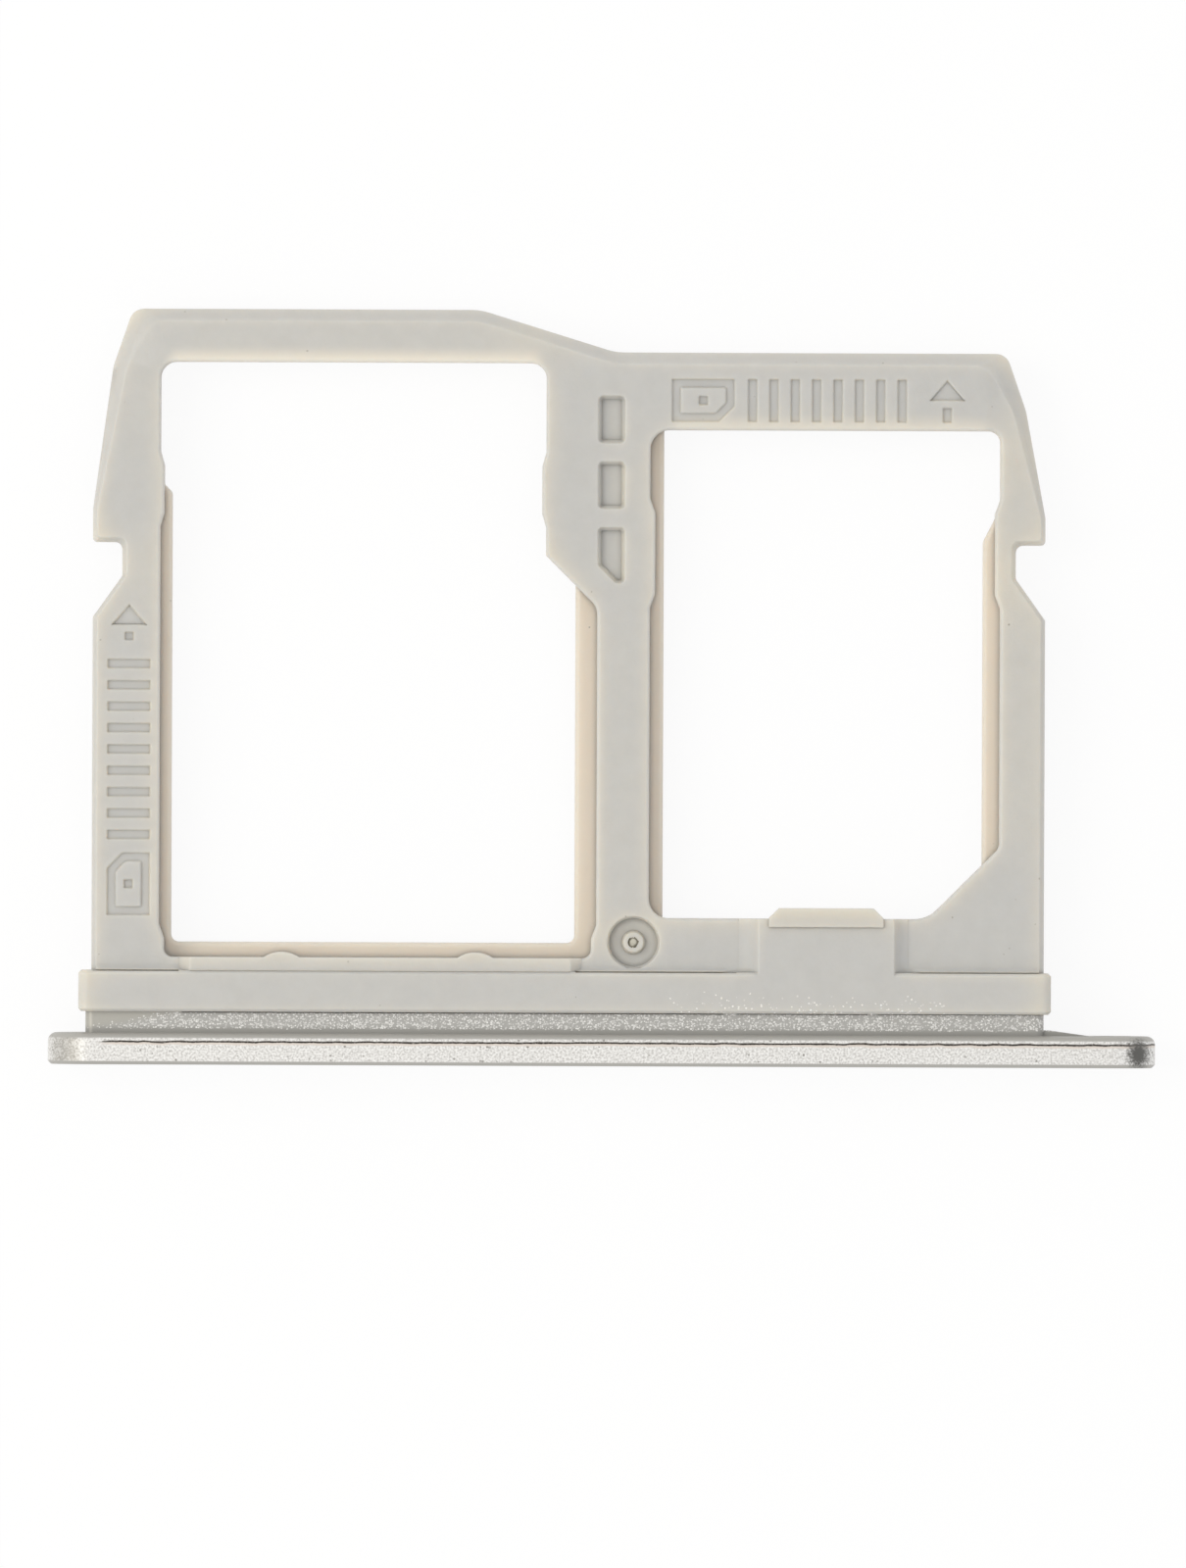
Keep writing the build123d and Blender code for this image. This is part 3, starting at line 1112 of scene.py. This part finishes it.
@dataclass
class CardTray:
    """The moulded tray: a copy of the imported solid, with slot marks and its finishes."""

    node: str = "tray"
    plate_back: float = -8.75
    collar_front: float = -8.21
    rail_top: float = 1.7
    land_top: float = 2.0
    land_ends: tuple[float, float] = (-7.17, -5.30)
    land_coves: tuple[tuple[float, float], ...] = ((7.82, 7.38), (3.38, 3.96))
    grooves: tuple[Groove, ...] = (
        Groove((-12.6, 13.9), -8.97, 2.2, 0.034, 0.04),
        Groove((-12.84, -10.68), -7.175, 1.86, 0.068, 0.14),
        Groove((-0.66, 3.40), -7.175, 1.86, 0.068, 0.14),
        Groove((7.84, 11.08), -7.165, 1.86, 0.068, 0.14),
        Groove((-10.6, 3.08), -8.215, 1.75, 0.05, 0.09),
        Groove((3.42, 6.72), -8.210, 1.75, 0.05, 0.09),
        Groove((6.98, 11.1), -8.205, 1.75, 0.05, 0.09),
    )
    well_radii: tuple[float, float] = (0.585, 0.668)
    well_heights: tuple[float, float] = (1.405, 1.705)
    well_core: float = 0.45
    well_foot: tuple[float, float, float] = (0.605, 0.04, 1.46)
    gate: tuple[float, float, float] = (0.795, -6.42, 1.535)
    torn_radius: float = 0.15
    torn_squash: float = 0.45
    torn_jitter: float = 0.02
    torn_seed: int = 4
    crater: float = 0.137
    cove_sides: int = 128
    well_sides: int = 96
    ring_sides: int = 16
    merge_distance: float = 0.0005
    smooth_angle: float = 32.0
    flat_weight: int = 100
    marks: list[SlotMarks] = field(
        default_factory=lambda: [
            SlotMarks("sim_marks", (1.70, 7.28), 7.45, Reading.ALONG_PLATE, CardCorner.FAR_BOTTOM),
            SlotMarks("memory_marks", (-11.97, -5.80), 7.90, Reading.INTO_PHONE, CardCorner.FAR_TOP),
        ]
    )

    def build(self) -> Object:
        """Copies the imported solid, sinks the marks and dresses the copy.

        Returns:
            The finished tray.
        """
        tray = self.copy_solid()
        for marks in self.marks:
            combine(tray, marks.cutter())
            log.info("sank %s", marks.name)
        for groove in self.grooves:
            combine(tray, self.groove(groove))
        for foot, head in self.land_coves:
            combine(tray, self.hollow(foot, head))
        combine(tray, self.well_wall())
        combine(tray, self.foot_ring())
        combine(tray, self.torn_end(), Way.UNITE)
        self.dress(tray)
        self.smooth(tray)
        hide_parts(self.node)
        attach(tray, "root")
        return tray

    def copy_solid(self) -> Object:
        """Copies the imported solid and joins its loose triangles.

        Returns:
            The copy.
        """
        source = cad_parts[self.node]
        tray = bpy.data.objects.new("card_tray", source.data.copy())
        bpy.context.scene.collection.objects.link(tray)
        tray.data.materials.clear()
        with editing(tray, "VERT"):
            bpy.ops.mesh.remove_doubles(threshold=self.merge_distance * MM)
        if tray.data.has_custom_normals:
            bpy.ops.mesh.customdata_custom_splitnormals_clear()
        return tray

    def groove(self, groove: Groove) -> Object:
        """Makes a fine V-shaped groove that runs along the face plate.

        Args:
            groove: Where it runs and how wide it is.

        Returns:
            The solid that is taken out.
        """
        left, right = groove.ends
        solid = primitive(bpy.ops.mesh.primitive_cube_add, turn=45, size=1)
        wide, deep = groove.width / sqrt(2), groove.depth * sqrt(2)
        solid.scale = ((right - left) * MM, wide * MM, deep * MM)
        solid.location = Vector(((left + right) / 2, groove.across, groove.height)) * MM
        return settle(solid)

    def hollow(self, foot: float, head: float) -> Object:
        """Makes the cylinder that hollows one end of the hold-down tab's land into a cove.

        Args:
            foot: Where along the plate the cove meets the rail's top, which it runs into smoothly.
            head: Where it meets the land's top.

        Returns:
            The solid that is taken out.
        """
        drop = self.land_top - self.rail_top
        radius = ((head - foot) ** 2 + drop**2) / (2 * drop)
        front, back = self.land_ends
        return primitive(
            bpy.ops.mesh.primitive_cylinder_add,
            (foot, (front + back) / 2, self.rail_top + radius + SLACK),
            turn=90,
            vertices=self.cove_sides,
            radius=radius * MM,
            depth=(back - front) * MM,
        )

    def well_wall(self) -> Object:
        """Makes the tapered ring that opens the gate well's wall.

        Returns:
            The solid that is taken out.
        """
        (foot, rim), (bottom, top) = self.well_radii, self.well_heights
        middle, high = (*self.gate[:2], (bottom + top) / 2), (top - bottom) * MM
        core = primitive(
            bpy.ops.mesh.primitive_cylinder_add,
            middle,
            vertices=self.well_sides,
            radius=self.well_core * MM,
            depth=2 * high,
        )
        wall = primitive(
            bpy.ops.mesh.primitive_cone_add,
            middle,
            vertices=self.well_sides,
            radius1=foot * MM,
            radius2=rim * MM,
            depth=high,
        )
        combine(wall, core)
        return wall

    def foot_ring(self) -> Object:
        """Makes the ring that rounds the foot of the gate well's wall.

        Returns:
            The solid that is taken out.
        """
        radius, thickness, height = self.well_foot
        return primitive(
            bpy.ops.mesh.primitive_torus_add,
            (*self.gate[:2], height),
            major_radius=radius * MM,
            minor_radius=thickness * MM,
            major_segments=self.well_sides,
            minor_segments=self.ring_sides,
        )

    def torn_end(self) -> Object:
        """Makes the torn end of the sprue, a flat lump that fills the gate's crater.

        Returns:
            The solid that is added.
        """
        add = bpy.ops.mesh.primitive_ico_sphere_add
        torn = primitive(add, subdivisions=3, radius=self.torn_radius * MM)
        torn.scale = (1.0, 1.0, self.torn_squash)
        torn.location = Vector(self.gate) * MM
        settle(torn)
        with editing(torn, "VERT"):
            bpy.ops.transform.vertex_random(offset=self.torn_jitter * MM, seed=self.torn_seed)
        return torn

    def smooth(self, tray: Object) -> None:
        """Shades the rounds smooth and keeps the flats flat.

        Args:
            tray: The tray.
        """
        pick(tray)
        bpy.ops.object.shade_smooth_by_angle(angle=radians(self.smooth_angle))
        flats = tray.modifiers.new("flats", "WEIGHTED_NORMAL")
        flats.keep_sharp = True
        flats.weight = self.flat_weight
        bpy.ops.object.modifier_apply(modifier=flats.name)

    def dress(self, tray: Object) -> None:
        """Gives each stretch of the tray its finish.

        Args:
            tray: The tray.
        """
        tray.data.materials.clear()
        for finish in (SatinMoulding(), Overspray(), SprayedSilver(), TornSprue(self.gate[:2])):
            tray.data.materials.append(finish.material())
        plate_back, collar_front = self.plate_back + SLACK, self.collar_front - SLACK
        gate = Vector(self.gate) * MM
        for face in tray.data.polygons:
            face.material_index = Finish.MOULDED
            if face.center.y < plate_back * MM:
                face.material_index = Finish.SPRAYED
            elif face.center.y < collar_front * MM:
                face.material_index = Finish.MISTED
            elif (face.center - gate).length < self.crater * MM:
                face.material_index = Finish.TORN


@dataclass
class Studio:
    """Pale floor, even white room, soft lamp, and the camera, which looks straight down."""

    picture: tuple[int, int] = (1210, 1600)
    points_per_mm: float = 40.4
    middle: tuple[float, float] = (-0.239, -2.423)
    camera_height: float = 600.0
    sensor: float = 36.0
    roll: float = 0.23
    sharp_height: float = 1.9
    clip: tuple[float, float] = (10.0, 10000.0)
    floor_size: float = 400.0
    floor_white: str = "fafafa"
    floor_roughness: float = 0.9
    floor_shine: float = 0.9
    world_strength: float = 0.82
    lamp_place: tuple[float, float, float] = (-160.0, 30.0, 190.0)
    lamp_size: float = 150.0
    lamp_watts: float = 0.2
    lamp_tint: str = "fffaec"

    def build(self) -> None:
        """Builds the floor, the lamp, the world and the camera."""
        self.floor()
        self.world()
        self.lamp()
        self.camera()

    def floor(self) -> None:
        """Lays a white floor that keeps the tray's soft shadow."""
        floor = primitive(bpy.ops.mesh.primitive_plane_add, size=self.floor_size * MM)
        floor.name = "floor"
        material, tree, output = blank_material("white_sweep")
        paint = add_node(
            tree,
            "ShaderNodeBsdfPrincipled",
            {"Base Color": linear(self.floor_white), "Roughness": self.floor_roughness},
        )
        shine = add_node(tree, "ShaderNodeEmission", {"Color": (1, 1, 1, 1), "Strength": 1.0})
        ray = add_node(tree, "ShaderNodeLightPath")
        seen = ray.outputs["Is Camera Ray"]
        for kind in ("Is Glossy Ray", "Is Transmission Ray"):
            either = add_node(
                tree, "ShaderNodeMath", {"operation": "MAXIMUM"}, {0: seen, 1: ray.outputs[kind]}
            )
            seen = either.outputs[0]
        share = add_node(
            tree, "ShaderNodeMath", {"operation": "MULTIPLY", 1: self.floor_shine}, {0: seen}
        )
        both = add_node(
            tree,
            "ShaderNodeMixShader",
            {},
            {0: share.outputs[0], 1: paint.outputs["BSDF"], 2: shine.outputs["Emission"]},
        )
        tree.links.new(both.outputs["Shader"], output.inputs["Surface"])
        floor.data.materials.append(material)

    def world(self) -> None:
        """Fills the room with even white light."""
        world = bpy.data.worlds.new("studio")
        bpy.context.scene.world = world
        world.use_nodes = True
        tree = world.node_tree
        tree.nodes.clear()
        back = add_node(
            tree, "ShaderNodeBackground", {"Color": (1, 1, 1, 1), "Strength": self.world_strength}
        )
        output = tree.nodes.new("ShaderNodeOutputWorld")
        tree.links.new(back.outputs["Background"], output.inputs["Surface"])

    def lamp(self) -> None:
        """Hangs a large soft lamp on the left, which faces the tray."""
        data = bpy.data.lights.new("key", "AREA")
        data.shape = "SQUARE"
        data.size = self.lamp_size * MM
        data.energy = self.lamp_watts
        data.color = linear(self.lamp_tint)[:3]
        lamp = bpy.data.objects.new("key", data)
        lamp.location = Vector(self.lamp_place) * MM
        lamp.rotation_euler = (-lamp.location).to_track_quat("-Z", "Y").to_euler()
        bpy.context.scene.collection.objects.link(lamp)

    def camera(self) -> None:
        """Sets the camera, with a long lens and the slight turn that the picture has."""
        data = bpy.data.cameras.new("camera")
        data.sensor_fit = "VERTICAL"
        data.sensor_height = self.sensor
        reach = self.camera_height - self.sharp_height
        data.lens = self.sensor * reach / (self.picture[1] / self.points_per_mm)
        data.clip_start, data.clip_end = (distance * MM for distance in self.clip)
        camera = bpy.data.objects.new("camera", data)
        camera.location = Vector((*self.middle, self.camera_height)) * MM
        camera.rotation_euler = (0, 0, radians(self.roll))
        bpy.context.scene.collection.objects.link(camera)
        bpy.context.scene.camera = camera
        bpy.context.scene.view_settings.view_transform = "Standard"


def main() -> None:
    """Builds the tray and its studio."""
    logging.basicConfig(level=logging.INFO)
    tray = CardTray().build()
    log.info("card tray: %d faces", len(tray.data.polygons))
    Studio().build()


if __name__ == "__main__":
    main()
